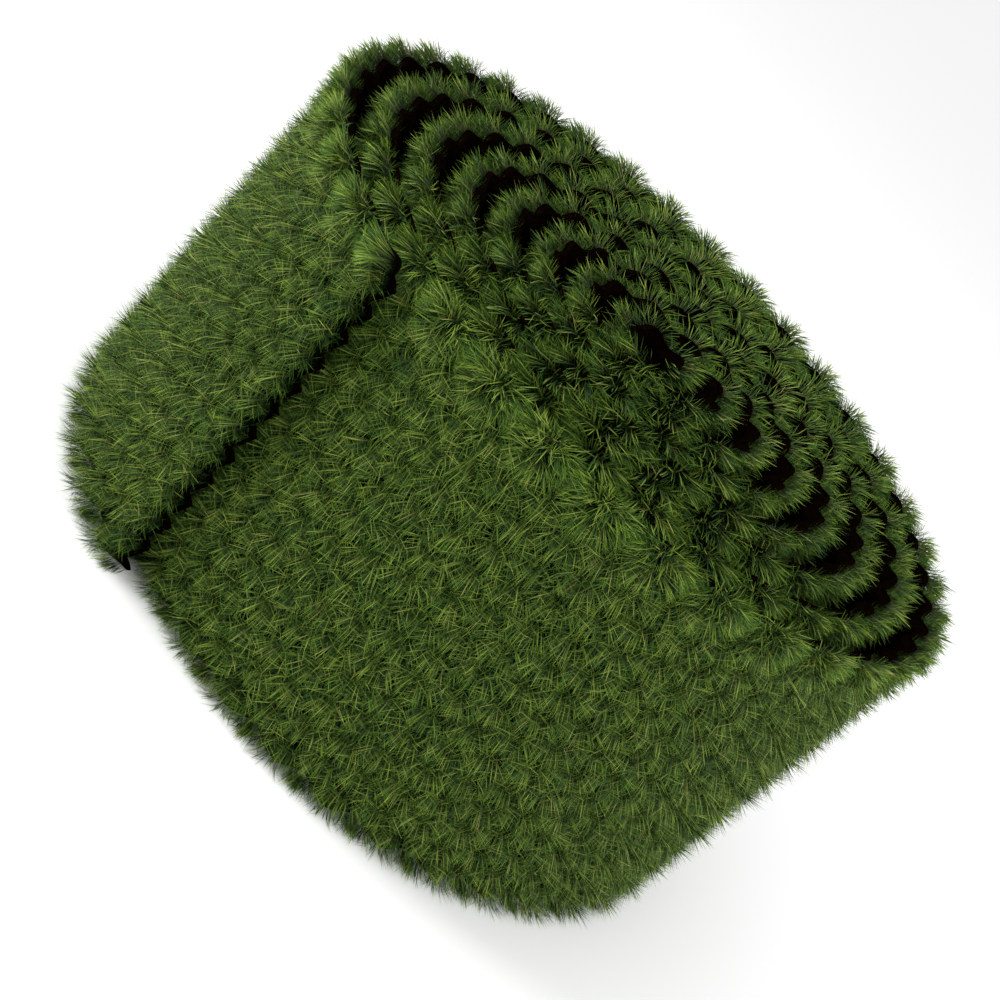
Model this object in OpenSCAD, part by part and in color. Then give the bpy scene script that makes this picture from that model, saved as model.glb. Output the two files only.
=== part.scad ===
// Roll of turf: one long grass sheet coiled up, standing on its end, grass outwards.
// Millimetres, +Z up. The coil is wound clockwise towards the middle, seen from above.

/* [Sheet] */

// Width of the sheet, which is the height of the standing roll
sheet_width = 400; // [300:10:620]

// Thickness of the dark mat of soil and roots
mat_thickness = 6; // [4:0.5:9]

// Height of the grass above the mat, to the mean tips
grass_height = 27.5; // [20:0.5:32]

/* [Coil] */

// Mat centreline radius at the outer free end
outer_radius = 382; // [250:1:480]

// Mat centreline radius at the inner end of the coil
inner_radius = 15; // [12:1:40]

// Air between the grass tips of one turn and the crests of the next, at the closest
turn_clearance = 0.3; // [0.3:0.1:12]

// Direction of the outer free end, seen from above
free_end_angle = 239; // [0:0.5:359.5]

/* [Waves] */

// Length of one wave along the sheet
wave_length = 65; // [60:1:100]

// Height above the mat's centreline at which the waves are that long on every turn
wave_layer = 22.5; // [0:0.5:30]

// Height of the mat's wave, from its middle to a crest
wave_height = 10.5; // [4:0.5:11]

// Share of that wave which still shows at the grass tips
tip_wave_share = 0.38; // [0:0.02:0.5]

// Coil radius within which the waves die down towards the inner end
wave_fade_radius = 60; // [50:5:150]

/* [Hidden] */

steps_per_wave = 6;

// Highest point of the grass above the mat centreline, and the turn spacing it asks for
tip_height = mat_thickness / 2 + grass_height;
pitch = tip_height + tip_wave_share * wave_height + turn_clearance
    + wave_height + mat_thickness / 2;

// Radius lost per radian of turn. Lengths along the sheet are measured at the wave layer.
radius_per_radian = pitch / (2 * PI);
sheet_length = (pow(outer_radius + wave_layer, 2) - pow(inner_radius + wave_layer, 2))
    / (2 * radius_per_radian);
step_count = ceil(sheet_length / wave_length * steps_per_wave);
step_length = sheet_length / step_count;

// Centreline radius and direction at a distance along the sheet from the outer end
function coil_radius(s) =
    sqrt(pow(outer_radius + wave_layer, 2) - 2 * radius_per_radian * s) - wave_layer;
function coil_angle(s) =
    free_end_angle - (outer_radius - coil_radius(s)) / radius_per_radian * 180 / PI;

// The wave, and its slope along the mat's centreline
function fade(s) = min(1, coil_radius(s) / wave_fade_radius);
function wave(s) = wave_height * fade(s) * cos(360 * s / wave_length);
function slope(s) = -2 * PI / wave_length * (1 + wave_layer / coil_radius(s))
    * wave_height * fade(s) * sin(360 * s / wave_length);

// A point at a radius, moved a distance onwards along the sheet
function coil_point(s, radius, onwards) = [
    radius * cos(coil_angle(s)) + onwards * sin(coil_angle(s)),
    radius * sin(coil_angle(s)) - onwards * cos(coil_angle(s))];

// One face of the mat, a distance outwards from its centreline and square to it
function mat_point(s, out) =
    coil_point(s, coil_radius(s) + wave(s) + out / sqrt(1 + pow(slope(s), 2)),
        -out * slope(s) / sqrt(1 + pow(slope(s), 2)));
function mat_face(out) = [for (i = [0 : step_count]) mat_point(i * step_length, out)];

// The grass tips follow the mat with a lower wave
function tip_face() = [for (i = [0 : step_count]) let (s = i * step_length)
    coil_point(s, coil_radius(s) + tip_height + tip_wave_share * wave(s), 0)];

function turned_back(points) = [for (i = [len(points) - 1 : -1 : 0]) points[i]];

// Middle of the outline, moved onto the origin
outline = tip_face();
middle = [for (k = [0, 1]) let (v = [for (p = outline) p[k]]) (min(v) + max(v)) / 2];

module coiled_band(outer_face, inner_face) {
    linear_extrude(sheet_width)
        translate(-middle)
            polygon(concat(outer_face, turned_back(inner_face)));
}

// The dark mat of soil and roots
module mat() {
    color([0.05, 0.03, 0.02])
        coiled_band(mat_face(mat_thickness / 2), mat_face(-mat_thickness / 2));
}

// The grass, as one solid band on the outer face of the mat
module grass() {
    color([0.22, 0.35, 0.1])
        coiled_band(tip_face(), mat_face(mat_thickness / 2));
}

mat();
grass();
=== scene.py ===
# %% [markdown]
# # A roll of lawn turf
# The CAD frame gives the roll its real size: a wavy mat of soil and roots, wound into an
# open coil, with the grass as one plain solid. Here both get their looks: the mat gets
# its egg-tray waves in both directions, and the grass becomes separate blades. Lengths
# are in metres.

# %% Setup
import math

import bpy
import numpy as np
from mathutils import Matrix, Vector


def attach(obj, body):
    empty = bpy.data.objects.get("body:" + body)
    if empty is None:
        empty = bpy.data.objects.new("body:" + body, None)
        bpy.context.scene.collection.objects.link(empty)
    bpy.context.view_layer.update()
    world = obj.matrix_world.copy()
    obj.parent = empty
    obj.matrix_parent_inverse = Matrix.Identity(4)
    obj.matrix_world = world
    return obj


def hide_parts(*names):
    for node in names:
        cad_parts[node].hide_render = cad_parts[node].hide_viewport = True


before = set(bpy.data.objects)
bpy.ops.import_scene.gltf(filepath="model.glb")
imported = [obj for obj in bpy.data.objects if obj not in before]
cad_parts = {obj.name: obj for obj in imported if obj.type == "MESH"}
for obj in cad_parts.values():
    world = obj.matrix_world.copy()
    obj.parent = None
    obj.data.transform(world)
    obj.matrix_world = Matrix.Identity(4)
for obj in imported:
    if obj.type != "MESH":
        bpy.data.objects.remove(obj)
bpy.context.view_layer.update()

# %% [markdown]
# ## The frame's own sizes
# These are the values that the CAD part was drawn with. The spacing of the turns follows
# from them: mat, grass, the waves of both and a little room.

# %% Sizes of the frame
SHEET_WIDTH = 0.400
MAT_THICKNESS = 0.006
GRASS_HEIGHT = 0.0275
OUTER_RADIUS = 0.382
INNER_RADIUS = 0.015
TURN_CLEARANCE = 0.0003
FREE_END_ANGLE = math.radians(239)
WAVE_LENGTH = 0.065
WAVE_LAYER = 0.0225
WAVE_HEIGHT = 0.0105
TIP_WAVE_SHARE = 0.38
WAVE_FADE_RADIUS = 0.060

TIP_HEIGHT = MAT_THICKNESS / 2 + GRASS_HEIGHT
PITCH = (TIP_HEIGHT + TIP_WAVE_SHARE * WAVE_HEIGHT + TURN_CLEARANCE
         + WAVE_HEIGHT + MAT_THICKNESS / 2)
PER_RADIAN = PITCH / (2 * math.pi)
print("turn spacing %.4f m" % PITCH)

# %% [markdown]
# ## The coil
# The real roll is one strip, wound from its free end towards the middle. It could be a
# curve with a bevel, but the waves and the blades have to follow it too, so the spiral is
# a formula: radius and angle from the length along the strip. That length is measured in
# the layer where the waves are evenly spaced, WAVE_LAYER outside the mat, so it comes out
# longer than the mat itself. The mat shown here curls in a little further than the frame's.

# %% Coil
INNERMOST = 0.007


def coil_radius(along):
    return np.sqrt((OUTER_RADIUS + WAVE_LAYER) ** 2 - 2 * PER_RADIAN * along) - WAVE_LAYER


def length_to(radius):
    return ((OUTER_RADIUS + WAVE_LAYER) ** 2 - (radius + WAVE_LAYER) ** 2) / (2 * PER_RADIAN)


def coil_angle(along):
    return FREE_END_ANGLE - (OUTER_RADIUS - coil_radius(along)) / PER_RADIAN


SHEET_LENGTH = length_to(INNER_RADIUS)
SHOWN_LENGTH = length_to(INNERMOST)
mat_length = (OUTER_RADIUS ** 2 - INNER_RADIUS ** 2) / (2 * PER_RADIAN)
print("mat %.2f m long, %.2f m where the waves are even" % (mat_length, SHEET_LENGTH))

# %% [markdown]
# ## The waves
# The mat is waved both ways like an egg tray: every second row of bumps is moved on by
# half a wave, which makes the zig-zag of the free end. The free end sinks towards the
# turn under it. The top edge stands out a little and waves much less. Two cosines
# multiplied give the bumps, and a soft step blends them into the top edge.

# %% Waves
WAVE_ACROSS = 0.0309
LOWEST_VALLEY = 0.0002
BODY_SHIFT = 0.003
BODY_WAVE = 0.0085
END_SINK = 0.009
END_SINK_REACH = 0.04
EDGE_BAND = 0.014
EDGE_SHIFT = 0.0078
EDGE_WAVE = 0.0027
EDGE_RISE = 0.0030


def ease(x):
    x = np.clip(x, 0, 1)
    return x * x * (3 - 2 * x)


def top_share(up, band):
    return ease((up - SHEET_WIDTH) / band + 1)


def swing(along):
    return np.cos(2 * math.pi * along / WAVE_LENGTH)


def rows(up):
    return -np.cos(2 * math.pi * (up - LOWEST_VALLEY) / WAVE_ACROSS)


def wave(along, up):
    fade = np.minimum(1, coil_radius(along) / WAVE_FADE_RADIUS)
    sink = END_SINK * np.exp(-np.maximum(along, 0) / END_SINK_REACH)
    body = BODY_SHIFT + BODY_WAVE * swing(along) * rows(up) - sink
    edge = EDGE_SHIFT + EDGE_WAVE * swing(along)
    return fade * (body + top_share(up, EDGE_BAND) * (edge - body))


print("bumps every %.0f mm along and %.0f mm across" % (1000 * WAVE_LENGTH, 1000 * WAVE_ACROSS))

# %% [markdown]
# ## A place on the sheet
# Three numbers name every place: how far along the strip, how high up the roll, and how
# far out from the mat's middle layer. One function turns them into a point, so that the
# mat and the grass can't drift apart. The frame's origin is the middle of its box, so the
# box is worked out here in the way that the CAD part does it.

# %% Places on the sheet
NORMAL_STEP = 1e-5
FRAME_STEPS_PER_WAVE = 6


def middle_layer(along, up):
    radius, angle = coil_radius(along) + wave(along, up), coil_angle(along)
    rise = EDGE_RISE * swing(along) * top_share(up, EDGE_BAND)
    return np.stack([radius * np.cos(angle), radius * np.sin(angle), up + rise], -1)


def unit(vectors):
    return vectors / np.linalg.norm(vectors, axis=-1, keepdims=True)


def outward(along, up, d=NORMAL_STEP):
    side = middle_layer(along + d, up) - middle_layer(along - d, up)
    rise = middle_layer(along, up + d) - middle_layer(along, up - d)
    return unit(np.cross(rise, side))


def frame_middle():
    s = np.linspace(0, SHEET_LENGTH, math.ceil(SHEET_LENGTH / WAVE_LENGTH * FRAME_STEPS_PER_WAVE) + 1)
    fade = np.minimum(1, coil_radius(s) / WAVE_FADE_RADIUS)
    tips = coil_radius(s) + TIP_HEIGHT + TIP_WAVE_SHARE * WAVE_HEIGHT * fade * swing(s)
    x, y = tips * np.cos(coil_angle(s)), tips * np.sin(coil_angle(s))
    return np.array([(x.min() + x.max()) / 2, (y.min() + y.max()) / 2, 0])


MIDDLE = frame_middle()


def sheet_point(along, up, out):
    return middle_layer(along, up) + out * outward(along, up) - MIDDLE


print("the coil's axis lies at", (-MIDDLE).round(4), "in the frame")

# %% [markdown]
# ## Which way the grass grows
# In the middle of the sheet blades stand square to the mat, so they splay on a bump and
# meet in a hollow. At the two cut edges nothing holds them, and each bump's blades open
# like a fan, over the top edge or down and out at the bottom. By the free end they lean
# back over it. The sum of these leans is the way a blade grows, and "comb" is the side
# that its tip bends to.

# %% Growth
FOLLOW = 0.95
FAN = 0.75
TOP_LEAN = 0.48
TOP_LEAN_BAND = 0.024
HOLLOW_LEAN_SHARE = 0.15
BOTTOM_LEAN = 0.55
BOTTOM_LEAN_BAND = 0.022
END_LEAN = 0.25
END_LEAN_BAND = 0.020
COMB_OF_FAN = 0.5
COMB_OF_LEAN = 0.6
UP = np.array([0.0, 0.0, 1.0])


def bottom_share(up):
    return ease(1 - up / BOTTOM_LEAN_BAND)


def lean_over(along, up):
    crest = 0.5 + 0.5 * swing(along)
    at_top = top_share(up, TOP_LEAN_BAND)
    rising = TOP_LEAN * at_top * (HOLLOW_LEAN_SHARE + (1 - HOLLOW_LEAN_SHARE) * crest)
    return (rising - BOTTOM_LEAN * bottom_share(up) * (1 - crest))[..., None] * UP


def fan_out(along, up, onwards):
    from_top_bump = (along / WAVE_LENGTH + 0.5) % 1 - 0.5
    from_bottom_bump = (along / WAVE_LENGTH) % 1 - 0.5
    shares = from_top_bump * top_share(up, TOP_LEAN_BAND) + from_bottom_bump * bottom_share(up)
    return (2 * FAN * shares)[..., None] * onwards


def growth(along, up):
    straight = unit(middle_layer(along, up) * (1, 1, 0))
    normal = outward(along, up)
    onwards = np.cross(straight, UP)
    over, fan = lean_over(along, up), fan_out(along, up, onwards)
    back = (END_LEAN * ease(1 - along / END_LEAN_BAND))[..., None] * onwards
    splay = normal - np.sum(normal * straight, -1, keepdims=True) * straight
    follow = (FOLLOW * (1 - bottom_share(up)))[..., None]
    comb = splay + COMB_OF_FAN * fan + COMB_OF_LEAN * over + back
    return unit(straight + follow * splay + fan + over + back), comb


middle_height = np.array(SHEET_WIDTH / 2)
print("a blade on a slope grows towards", growth(np.array(0.28), middle_height)[0].round(2))

# %% [markdown]
# ## Materials
# The mat is a felt of fine roots and dark, dull soil. Between the blades its upper side
# is dark green from the stems. Both colours are kept near black, darker than soil and
# stems are: partly the mat's own colour and partly painted shade for the shadowed cut
# edges and the gaps between the turns. A fine noise between two colours is enough for
# both, because only the cut edges and the inner face ever show.

# %% Material helpers
def new_material(name, roughness):
    material = bpy.data.materials.new(name)
    material.use_nodes = True
    shader = material.node_tree.nodes["Principled BSDF"]
    shader.inputs["Roughness"].default_value = roughness
    return material, material.node_tree, shader


def ramp(tree, factor, stops):
    node = tree.nodes.new("ShaderNodeValToRGB")
    elements = node.color_ramp.elements
    while len(elements) < len(stops):
        elements.new(0.5)
    for element, (place, colour) in zip(elements, stops):
        element.position, element.color = place, (*colour, 1)
    tree.links.new(factor, node.inputs["Fac"])
    return node.outputs["Color"]


def noise(tree, scale, detail=3.0):
    place = tree.nodes.new("ShaderNodeTexCoord")
    node = tree.nodes.new("ShaderNodeTexNoise")
    node.inputs["Scale"].default_value = scale
    node.inputs["Detail"].default_value = detail
    tree.links.new(place.outputs["Object"], node.inputs["Vector"])
    return node.outputs["Fac"]


# %% Soil and stems
DULL = 0.95


def rooty_and_shaded_material(name, dark, light, scale):
    material, tree, shader = new_material(name, DULL)
    shader.inputs["Specular IOR Level"].default_value = 0.0
    colour = ramp(tree, noise(tree, scale), [(0.35, dark), (0.7, light)])
    tree.links.new(colour, shader.inputs["Base Color"])
    return material


# Near-black colours: the soil and stems, with the painted shade of the gaps laid into them.
soil_and_painted_shade = rooty_and_shaded_material("soil and roots", (0.0010, 0.0005, 0.0003), (0.0034, 0.0016, 0.0008), 240)
stems_and_painted_shade = rooty_and_shaded_material("stems on the mat", (0.0012, 0.0026, 0.0008), (0.004, 0.008, 0.002), 180)
print("materials", soil_and_painted_shade.name, "and", stems_and_painted_shade.name)

# %% [markdown]
# ## The colour of the blades
# Real blades differ: dull dark green, fresh green, yellow-green and now and then straw.
# Low down they are in the dark, and that shade is painted into their colour, as the tips
# are painted lighter. One material does it all, from two numbers that each blade carries
# in its UV map: its own tone, and the place along its length, which sets the painted shade
# and light. A separate material for each tone would cost more and say less.

# %% Blade material
TONES = [
    (0.00, (0.012, 0.040, 0.013)),
    (0.25, (0.038, 0.094, 0.016)),
    (0.50, (0.086, 0.160, 0.019)),
    (0.75, (0.168, 0.256, 0.032)),
    (0.93, (0.260, 0.340, 0.062)),
    (0.985, (0.275, 0.260, 0.085)),
    (1.00, (0.210, 0.115, 0.055)),
]
# Painted shade and light along each blade: near black at the root, lighter than the blade's tone at the
# tip.
PAINTED_ROOT_SHADE_TIP_LIGHT = [
    (0.0, (0.04, 0.04, 0.04)),
    (0.5, (0.50, 0.50, 0.50)),
    (1.0, (1.70, 1.70, 1.55)),
]


def blade_material():
    material, tree, shader = new_material("grass blades", 0.55)
    shader.inputs["Specular IOR Level"].default_value = 0.12
    uv = tree.nodes.new("ShaderNodeUVMap")
    uv.uv_map = "blade"
    split = tree.nodes.new("ShaderNodeSeparateXYZ")
    tree.links.new(uv.outputs["UV"], split.inputs["Vector"])
    mix = tree.nodes.new("ShaderNodeMix")
    mix.data_type, mix.blend_type = "RGBA", "MULTIPLY"
    mix.inputs["Factor"].default_value = 1.0
    tree.links.new(ramp(tree, split.outputs["X"], TONES), mix.inputs["A"])
    # The place along the blade picks its painted shade or light.
    tree.links.new(ramp(tree, split.outputs["Y"], PAINTED_ROOT_SHADE_TIP_LIGHT), mix.inputs["B"])
    tree.links.new(mix.outputs["Result"], shader.inputs["Base Color"])
    return material


blade_green = blade_material()
print("material", blade_green.name, "with", len(TONES), "tones")

# %% [markdown]
# ## The mat
# The mat is a few millimetres thick, and it is cut square on all four sides. It could be
# a sheet with a Solidify modifier, but both its faces come straight from the sheet's
# function, which keeps the thickness true on the waves. Two grids and a band round the
# rim make one closed skin.

# %% Mesh helpers
def grid_faces(rows, columns):
    a = (np.arange(rows - 1)[:, None] * columns + np.arange(columns - 1)).ravel()
    return np.stack([a, a + 1, a + columns + 1, a + columns], 1)


def mesh_object(name, vertices, faces, materials, face_materials=None):
    mesh = bpy.data.meshes.new(name)
    mesh.from_pydata(np.asarray(vertices).tolist(), [], np.asarray(faces).tolist())
    for material in materials:
        mesh.materials.append(material)
    if face_materials is not None:
        mesh.polygons.foreach_set("material_index", np.asarray(face_materials, np.int32))
    mesh.polygons.foreach_set("use_smooth", np.full(len(mesh.polygons), True))
    mesh.update()
    obj = bpy.data.objects.new(name, mesh)
    bpy.context.scene.collection.objects.link(obj)
    return obj


def mat_piece(name, alongs, ups):
    along, up = np.meshgrid(alongs, ups)
    outer = sheet_point(along, up, MAT_THICKNESS / 2).reshape(-1, 3)
    inner = sheet_point(along, up, -MAT_THICKNESS / 2).reshape(-1, 3)
    quads, index = grid_faces(*along.shape), np.arange(along.size).reshape(along.shape)
    rim = np.concatenate([index[0, :], index[1:, -1], index[-1, -2::-1], index[-2:0:-1, 0]])
    following = np.roll(rim, -1)
    edges = np.stack([rim, rim + along.size, following + along.size, following], 1)
    faces = np.concatenate([quads[:, ::-1], quads + along.size, edges])
    kinds = np.concatenate([np.ones(len(quads)), np.zeros(len(quads) + len(edges))])
    return mesh_object(name, np.concatenate([outer, inner]), faces, [soil_and_painted_shade, stems_and_painted_shade], kinds)


# %% [markdown]
# The outer turn has fine rows from bottom to top. Deep inside the coil nothing shows, so
# the inner turns keep fine rows only by the two cut ends.

# %% Mat pieces
STEPS_PER_WAVE = 8
STEPS_PER_ROW = 4
ROWS_OF_BUMPS = 12.5
STEPS_TO_TOP_EDGE = 4
PAST_THE_TURN = 1.02

alongs = np.linspace(0, SHOWN_LENGTH, math.ceil(SHOWN_LENGTH / WAVE_LENGTH * STEPS_PER_WAVE) + 1)
outer_end = length_to(OUTER_RADIUS - PITCH) * PAST_THE_TURN
split_at = int(np.searchsorted(alongs, outer_end))
bumps_end = LOWEST_VALLEY + WAVE_ACROSS * ROWS_OF_BUMPS
fine_rows = np.concatenate([np.linspace(0, bumps_end, round(ROWS_OF_BUMPS * STEPS_PER_ROW) + 1),
                            np.linspace(bumps_end, SHEET_WIDTH, STEPS_TO_TOP_EDGE + 1)[1:]])
sparse_rows = np.concatenate([fine_rows[:5], fine_rows[9:-8:8], fine_rows[-7:]])
mats = [mat_piece("mat_outer_turn", alongs[: split_at + 1], fine_rows),
        mat_piece("mat_inner_turns", alongs[split_at:], sparse_rows)]
for obj in mats:
    print(obj.name, len(obj.data.vertices), "vertices", len(obj.data.polygons), "faces")

# %% [markdown]
# ## One blade
# A real blade is a thin leaf, about a millimetre wide or less, that narrows to a point
# and bends over. Each is a kite of two triangles, which is few enough to be repeated
# four hundred thousand times. Five kinds differ in how far they bend. A blade is one
# high and one wide, and gets its size when it is planted.

# %% Blades
BENDS = (0.10, 0.22, 0.34, 0.48, 0.65)
SINK_OF_BEND = 0.35
ALONG_BLADE = (0.0, 0.5, 0.5, 1.0)


def blade_object(name, bend):
    heights = np.array([0.0, 0.5, 1.0])
    x = bend * heights ** 2
    z = heights * (1 - SINK_OF_BEND * bend * heights)
    points = [(x[0], 0, z[0]), (x[1], 0.5, z[1]), (x[1], -0.5, z[1]), (x[2], 0, z[2])]
    mesh = bpy.data.meshes.new(name)
    mesh.from_pydata(points, [], [(0, 1, 2), (2, 1, 3)])
    uv = mesh.uv_layers.new(name="blade")
    for loop in mesh.loops:
        uv.data[loop.index].uv = (0.5, ALONG_BLADE[loop.vertex_index])
    mesh.update()
    return bpy.data.objects.new(name, mesh)


blade_kinds = bpy.data.collections.new("blade kinds")
for number, bend in enumerate(BENDS):
    blade_kinds.objects.link(blade_object("blade_%d" % number, bend))

# %% [markdown]
# ## Growing the blades
# A hair system could grow the grass, but Geometry Nodes give plain meshes and keep every
# size as a named input. The tree scatters points over a bed, which is the mat's outer
# face with four attributes: "grow" and "comb" for the directions, "room" for the longest
# blade that fits, and "stout" for the width. These helpers add single nodes to it.

# %% Node helpers
def random_value(tree, given, kind, low, high, offset):
    node, seed = tree.nodes.new("FunctionNodeRandomValue"), tree.nodes.new("ShaderNodeMath")
    node.data_type = kind
    seed.inputs[1].default_value = offset
    tree.links.new(given["Seed"], seed.inputs[0])
    tree.links.new(seed.outputs[0], node.inputs["Seed"])
    which = {"FLOAT_VECTOR": 0, "FLOAT": 1, "INT": 2}[kind]
    for name, value in (("Min", low), ("Max", high)):
        socket = [s for s in node.inputs if s.name == name][which]
        if hasattr(value, "is_linked"):
            tree.links.new(value, socket)
        else:
            socket.default_value = value
    return [s for s in node.outputs if s.name == "Value"][which]


def number_maths(tree, operation, a, b):
    node = tree.nodes.new("ShaderNodeMath")
    node.operation = operation
    tree.links.new(a, node.inputs[0])
    tree.links.new(b, node.inputs[1])
    return node.outputs[0]


def vector_maths(tree, operation, a, b=None, scale=None):
    node = tree.nodes.new("ShaderNodeVectorMath")
    node.operation = operation
    tree.links.new(a, node.inputs[0])
    if b is not None:
        tree.links.new(b, node.inputs[1])
    if scale is not None:
        tree.links.new(scale, node.inputs["Scale"])
    return node.outputs[0]


def stored(tree, name, kind):
    node = tree.nodes.new("GeometryNodeInputNamedAttribute")
    node.data_type = kind
    node.inputs["Name"].default_value = name
    return next(s for s in node.outputs if s.name == "Attribute" and s.enabled)


# %% [markdown]
# A blade first takes the direction stored in the bed. It then leans with its neighbours,
# by a noise, and a little its own way, by a random vector. Its tip is turned towards the
# comb. Its length and width are random between two inputs.

# %% Direction and size of a blade
def blade_rotation(tree, given):
    tufts = tree.nodes.new("ShaderNodeTexNoise")
    tufts.inputs["Detail"].default_value = 1.0
    tree.links.new(given["Tuft scale"], tufts.inputs["Scale"])
    centred = tree.nodes.new("ShaderNodeVectorMath")
    centred.operation = "SUBTRACT"
    centred.inputs[1].default_value = (0.5, 0.5, 0.5)
    tree.links.new(tufts.outputs["Color"], centred.inputs[0])
    tuft_lean = vector_maths(tree, "SCALE", centred.outputs[0], scale=given["Tuft lean"])
    own_way = random_value(tree, given, "FLOAT_VECTOR", (-1, -1, -1), (1, 1, 1), 11)
    own_lean = vector_maths(tree, "SCALE", own_way, scale=given["Own lean"])
    upright = tree.nodes.new("FunctionNodeAlignRotationToVector")
    upright.axis = "Z"
    tree.links.new(vector_maths(tree, "ADD", stored(tree, "grow", "FLOAT_VECTOR"),
                                vector_maths(tree, "ADD", tuft_lean, own_lean)),
                   upright.inputs["Vector"])
    own_side = random_value(tree, given, "FLOAT_VECTOR", (-1, -1, -1), (1, 1, 1), 12)
    bending = vector_maths(tree, "SCALE", own_side, scale=given["Own bend"])
    turned = tree.nodes.new("FunctionNodeAlignRotationToVector")
    turned.axis, turned.pivot_axis = "X", "Z"
    tree.links.new(upright.outputs[0], turned.inputs["Rotation"])
    tree.links.new(vector_maths(tree, "ADD", stored(tree, "comb", "FLOAT_VECTOR"), bending),
                   turned.inputs["Vector"])
    return turned.outputs[0]


def blade_scale(tree, given):
    length = random_value(tree, given, "FLOAT", given["Shortest"], given["Longest"], 13)
    width = random_value(tree, given, "FLOAT", given["Narrowest"], given["Widest"], 16)
    length = number_maths(tree, "MINIMUM", length, stored(tree, "room", "FLOAT"))
    width = number_maths(tree, "MULTIPLY", width, stored(tree, "stout", "FLOAT"))
    scale = tree.nodes.new("ShaderNodeCombineXYZ")
    for axis, size in (("X", length), ("Y", width), ("Z", length)):
        tree.links.new(size, scale.inputs[axis])
    return scale.outputs[0]


# %% [markdown]
# The tree itself plants one of the blade kinds on every point, gives each blade its tone
# and turns the instances into a real mesh, because instances don't leave Blender.

# %% Planting
INPUTS = [("Bed", "NodeSocketGeometry", None), ("Material", "NodeSocketMaterial", None),
          ("Density", "NodeSocketFloat", 1000.0), ("Seed", "NodeSocketInt", 1),
          ("Shortest", "NodeSocketFloat", 0.027), ("Longest", "NodeSocketFloat", 0.037),
          ("Narrowest", "NodeSocketFloat", 0.0005), ("Widest", "NodeSocketFloat", 0.0009),
          ("Tuft lean", "NodeSocketFloat", 0.22), ("Tuft scale", "NodeSocketFloat", 50.0),
          ("Own lean", "NodeSocketFloat", 0.085), ("Own bend", "NodeSocketFloat", 0.22)]


def scattered_points(tree, given):
    scatter = tree.nodes.new("GeometryNodeDistributePointsOnFaces")
    for ours, theirs in (("Bed", "Mesh"), ("Density", "Density"), ("Seed", "Seed")):
        tree.links.new(given[ours], scatter.inputs[theirs])
    return scatter.outputs["Points"]


def planted_blades(tree, given):
    kinds = tree.nodes.new("GeometryNodeCollectionInfo")
    kinds.inputs["Collection"].default_value = blade_kinds
    kinds.inputs["Separate Children"].default_value = True
    kinds.inputs["Reset Children"].default_value = True
    plant = tree.nodes.new("GeometryNodeInstanceOnPoints")
    plant.inputs["Pick Instance"].default_value = True
    which = random_value(tree, given, "INT", 0, len(BENDS) - 1, 14)
    for value, name in ((scattered_points(tree, given), "Points"), (kinds.outputs[0], "Instance"),
                        (which, "Instance Index"), (blade_rotation(tree, given), "Rotation"),
                        (blade_scale(tree, given), "Scale")):
        tree.links.new(value, plant.inputs[name])
    return plant.outputs[0]


# %% Grass tree
def grass_tree():
    tree = bpy.data.node_groups.new("grow grass", "GeometryNodeTree")
    for name, kind, value in INPUTS:
        socket = tree.interface.new_socket(name, in_out="INPUT", socket_type=kind)
        if value is not None:
            socket.default_value = value
    tree.interface.new_socket("Grass", in_out="OUTPUT", socket_type="NodeSocketGeometry")
    given = tree.nodes.new("NodeGroupInput").outputs
    tone = tree.nodes.new("GeometryNodeStoreNamedAttribute")
    tone.data_type, tone.domain = "FLOAT", "INSTANCE"
    tone.inputs["Name"].default_value = "tone"
    tree.links.new(planted_blades(tree, given), tone.inputs["Geometry"])
    tree.links.new(random_value(tree, given, "FLOAT", 0.0, 1.0, 15), tone.inputs["Value"])
    real = tree.nodes.new("GeometryNodeRealizeInstances")
    tree.links.new(tone.outputs[0], real.inputs[0])
    paint = tree.nodes.new("GeometryNodeSetMaterial")
    tree.links.new(real.outputs[0], paint.inputs["Geometry"])
    tree.links.new(given["Material"], paint.inputs["Material"])
    tree.links.new(paint.outputs[0], tree.nodes.new("NodeGroupOutput").inputs[0])
    return tree


grow_grass = grass_tree()
print("grass tree with", len(grow_grass.nodes), "nodes")

# %% [markdown]
# ## The bed
# Grass is longest on the bumps, where it gets the light, and short in the hollows. Where
# the next turn lies over it, it ends below that turn's mat. Blades by the top edge are
# stouter.

# %% Bed
CREST_ROOM = 0.0375
VALLEY_ROOM = 0.017
RIM_VALLEY_ROOM = 0.023
NEXT_MAT_GAP = 0.003
ANY_LENGTH = 1.0
TOP_STOUTNESS = 1.45
CELLS_PER_WAVE = 12


def room_above(along, up):
    further_out = length_to(coil_radius(along) + PITCH)
    next_wave = wave(np.maximum(further_out, 0), up)
    gap = PITCH - MAT_THICKNESS - NEXT_MAT_GAP + next_wave - wave(along, up)
    share = top_share(up, EDGE_BAND)
    lump = 0.5 + 0.5 * swing(along) * (rows(up) + share * (1 - rows(up)))
    shortest = VALLEY_ROOM + (RIM_VALLEY_ROOM - VALLEY_ROOM) * share
    reach = shortest + (CREST_ROOM - shortest) * lump
    return np.minimum(reach, np.where(further_out < 0, ANY_LENGTH, gap))


def store(mesh, name, kind, field, values):
    attribute = mesh.attributes.new(name, kind, "POINT")
    attribute.data.foreach_set(field, values.ravel().astype(np.float32))


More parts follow.
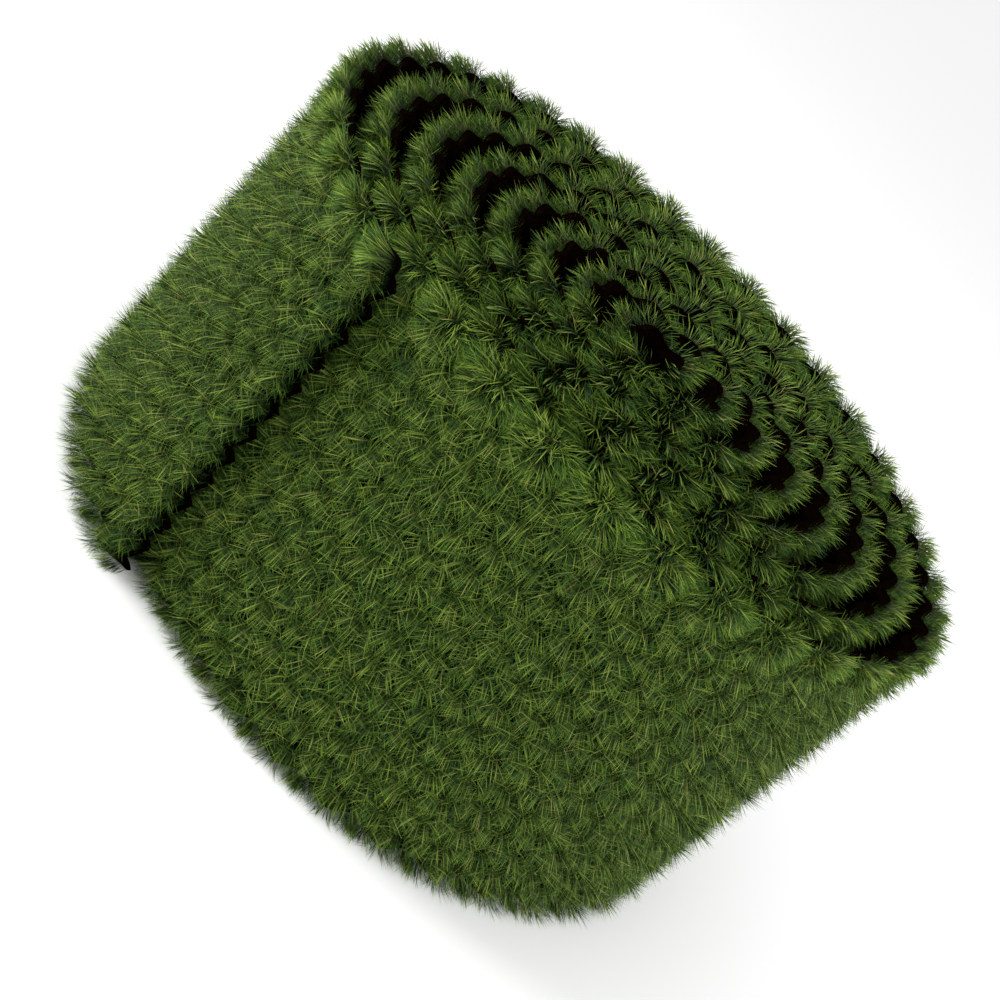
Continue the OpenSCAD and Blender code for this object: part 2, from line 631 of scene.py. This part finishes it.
def bed_object(start, end, low, high):
    columns = max(2, round((end - start) / WAVE_LENGTH * CELLS_PER_WAVE))
    lines = max(2, round((high - low) / WAVE_ACROSS * CELLS_PER_WAVE))
    along, up = np.meshgrid(np.linspace(start, end, columns), np.linspace(low, high, lines))
    points = sheet_point(along, up, MAT_THICKNESS / 2).reshape(-1, 3)
    bed = mesh_object("bed", points, grid_faces(lines, columns)[:, ::-1], [])
    grow, comb = growth(along, up)
    store(bed.data, "room", "FLOAT", "value", room_above(along, up))
    store(bed.data, "stout", "FLOAT", "value", 1 + (TOP_STOUTNESS - 1) * top_share(up, TOP_LEAN_BAND))
    store(bed.data, "grow", "FLOAT_VECTOR", "vector", grow)
    store(bed.data, "comb", "FLOAT_VECTOR", "vector", comb)
    return bed


print("blades from %.0f to %.0f mm" % (1000 * VALLEY_ROOM, 1000 * CREST_ROOM))

# %% [markdown]
# ## From bed to grass
# The tree's result becomes a plain mesh. Each blade's tone goes from its attribute to
# its UV map, painted darker where the blade is short, because a hollow gets less light.
# A second UV map named OFBake holds the same values. Last, blades above the roll are
# pressed down softly, and none goes through the floor.

# %% Tones and bounds
HOLLOW_SHADE = 0.45
TOP_HEADROOM = 0.0215
FLOOR_GAP = 0.0004


def values_of(mesh, name):
    values = np.zeros(len(mesh.vertices), np.float32)
    mesh.attributes[name].data.foreach_get("value", values)
    return values


def paint_tones_and_shade(mesh):
    # Painted shade: blades with little room stand in a hollow, and their tone is moved towards the dark
    # end of the colours.
    lit = ease((values_of(mesh, "room") - VALLEY_ROOM) / (CREST_ROOM - VALLEY_ROOM))
    tone = values_of(mesh, "tone")
    tone *= HOLLOW_SHADE + (1 - HOLLOW_SHADE) * lit
    corner = np.zeros(len(mesh.loops), np.int32)
    mesh.loops.foreach_get("vertex_index", corner)
    uv = np.zeros(2 * len(mesh.loops), np.float32)
    mesh.uv_layers["blade"].data.foreach_get("uv", uv)
    uv[0::2] = tone[corner]
    mesh.uv_layers["blade"].data.foreach_set("uv", uv)
    mesh.uv_layers.new(name="OFBake").data.foreach_set("uv", uv)


def keep_in_bounds(mesh):
    places = np.zeros(3 * len(mesh.vertices), np.float32)
    mesh.vertices.foreach_get("co", places)
    above = places[2::3] - SHEET_WIDTH
    above = np.where(above > 0, TOP_HEADROOM * np.tanh(above / TOP_HEADROOM), above)
    places[2::3] = np.maximum(above + SHEET_WIDTH, FLOOR_GAP)
    mesh.vertices.foreach_set("co", places)


# %% Growing one piece
def grown(name, start, end, low, high, blades, seed):
    bed = bed_object(start, end, low, high)
    area = sum(p.area for p in bed.data.polygons)
    modifier = bed.modifiers.new("grass", "NODES")
    modifier.node_group = grow_grass
    values = {"Density": blades / area, "Seed": seed, "Material": blade_green}
    for item in grow_grass.interface.items_tree:
        if item.in_out == "INPUT" and item.name in values:
            modifier[item.identifier] = values[item.name]
    graph = bpy.context.evaluated_depsgraph_get()
    mesh = bpy.data.meshes.new_from_object(bed.evaluated_get(graph), depsgraph=graph)
    bed.modifiers.clear()
    bpy.data.objects.remove(bed)
    paint_tones_and_shade(mesh)
    for spare in ("tone", "room", "stout", "grow", "comb"):
        if spare in mesh.attributes:
            mesh.attributes.remove(mesh.attributes[spare])
    keep_in_bounds(mesh)
    obj = bpy.data.objects.new(name, mesh)
    bpy.context.scene.collection.objects.link(obj)
    print(name, sum(len(p.vertices) - 2 for p in mesh.polygons), "triangles")
    return obj


# %% [markdown]
# ## The grass
# The outer turn carries its full pile, in three pieces to keep each one small, with more
# blades along its rim. On the turns inside it only the bands by the two cut ends show, so
# the blades stand there.

# %% Grass pieces
OUTER_PIECES = 3
OUTER_BLADES = 92000
RIM_BAND, RIM_BLADES = 0.020, 22000
TOP_BAND, TOP_BLADES = 0.042, 53000
BOTTOM_BAND, BOTTOM_BLADES = 0.028, 17000
TOP_SPLIT_SHARE = 0.42

cuts = np.linspace(0, outer_end, OUTER_PIECES + 1)
grass = [grown("grass_outer_%d" % (i + 1), cuts[i], cuts[i + 1], 0, SHEET_WIDTH, OUTER_BLADES, 100 + i)
         for i in range(OUTER_PIECES)]
grass.append(grown("grass_rim", 0, outer_end, SHEET_WIDTH - RIM_BAND, SHEET_WIDTH, RIM_BLADES, 400))
top_cuts = (outer_end, (outer_end + SHOWN_LENGTH) * TOP_SPLIT_SHARE, SHOWN_LENGTH)
for i in range(2):
    grass.append(grown("grass_top_%d" % (i + 1), top_cuts[i], top_cuts[i + 1],
                       SHEET_WIDTH - TOP_BAND, SHEET_WIDTH, TOP_BLADES, 200 + i))
grass.append(grown("grass_bottom", outer_end, SHOWN_LENGTH, 0, BOTTOM_BAND, BOTTOM_BLADES, 300))

# %% [markdown]
# ## Joining the looks to the frame
# Nothing on a roll of turf moves, so every piece rides the one body. The wavy mat stands
# for the frame's mat, and the blades for the frame's grass.

# %% Ties
for obj in mats:
    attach(obj, "root")
    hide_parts("mat")
for obj in grass:
    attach(obj, "root")
    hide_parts("grass")
print(len(mats), "pieces stand for the mat and", len(grass), "for the grass")

# %% [markdown]
# ## Studio
# The roll stands on a plain pale floor, under an even white sky that keeps the shadows
# soft. Two large lamps at the sides brighten the roll's flanks a little more than its
# front.

# %% Floor and sky
FLOOR_REACH = 30
floor_corners = [(x * FLOOR_REACH, y * FLOOR_REACH, 0) for x, y in ((-1, -1), (1, -1), (1, 1), (-1, 1))]
pale, _, pale_shader = new_material("pale floor", 0.9)
pale_shader.inputs["Base Color"].default_value = (0.9, 0.9, 0.9, 1)
floor = mesh_object("floor", floor_corners, [(0, 1, 2, 3)], [pale])

world = bpy.data.worlds.new("studio")
bpy.context.scene.world = world
world.use_nodes = True
sky = world.node_tree.nodes["Background"]
sky.inputs["Color"].default_value = (1, 1, 1, 1)
sky.inputs["Strength"].default_value = 1.0
print("floor and sky")

# %% Lamps
LIT_POINT = Vector((0, 0, 0.2))


def lamp(name, place, size, power):
    light = bpy.data.lights.new(name, "AREA")
    light.size, light.energy = size, power
    obj = bpy.data.objects.new(name, light)
    bpy.context.scene.collection.objects.link(obj)
    turn = (Vector(place) - LIT_POINT).to_track_quat("Z", "Y").to_matrix().to_4x4()
    obj.matrix_world = Matrix.Translation(place) @ turn
    return obj


for obj in (lamp("key", (-2.3, -0.6, 2.1), 1.2, 68), lamp("fill", (2.4, -0.6, 1.5), 1.5, 32)):
    print(obj.name, "lamp of", obj.data.energy, "W")

# %% [markdown]
# ## Camera
# The camera looks down on the roll a little and is rolled to one side, which gives the
# picture its slant. Its place and target are measured from the coil's axis.

# %% Camera
CAMERA_PLACE = Vector((-0.0101, -1.7022, 0.9566)) - Vector(MIDDLE)
CAMERA_TARGET = Vector((-0.0081, 0.0035, 0.1659)) - Vector(MIDDLE)
CAMERA_ROLL = math.radians(46.845)
CAMERA_LENS = 66.99

camera = bpy.data.objects.new("camera", bpy.data.cameras.new("camera"))
bpy.context.scene.collection.objects.link(camera)
bpy.context.scene.camera = camera
camera.data.lens = CAMERA_LENS
looking = (CAMERA_TARGET - CAMERA_PLACE).to_track_quat("-Z", "Y").to_matrix().to_4x4()
camera.matrix_world = (Matrix.Translation(CAMERA_PLACE) @ looking
                       @ Matrix.Rotation(CAMERA_ROLL, 4, "Z"))
bpy.context.scene.view_settings.view_transform = "Standard"
print("camera %.2f m from its target" % (CAMERA_TARGET - CAMERA_PLACE).length)
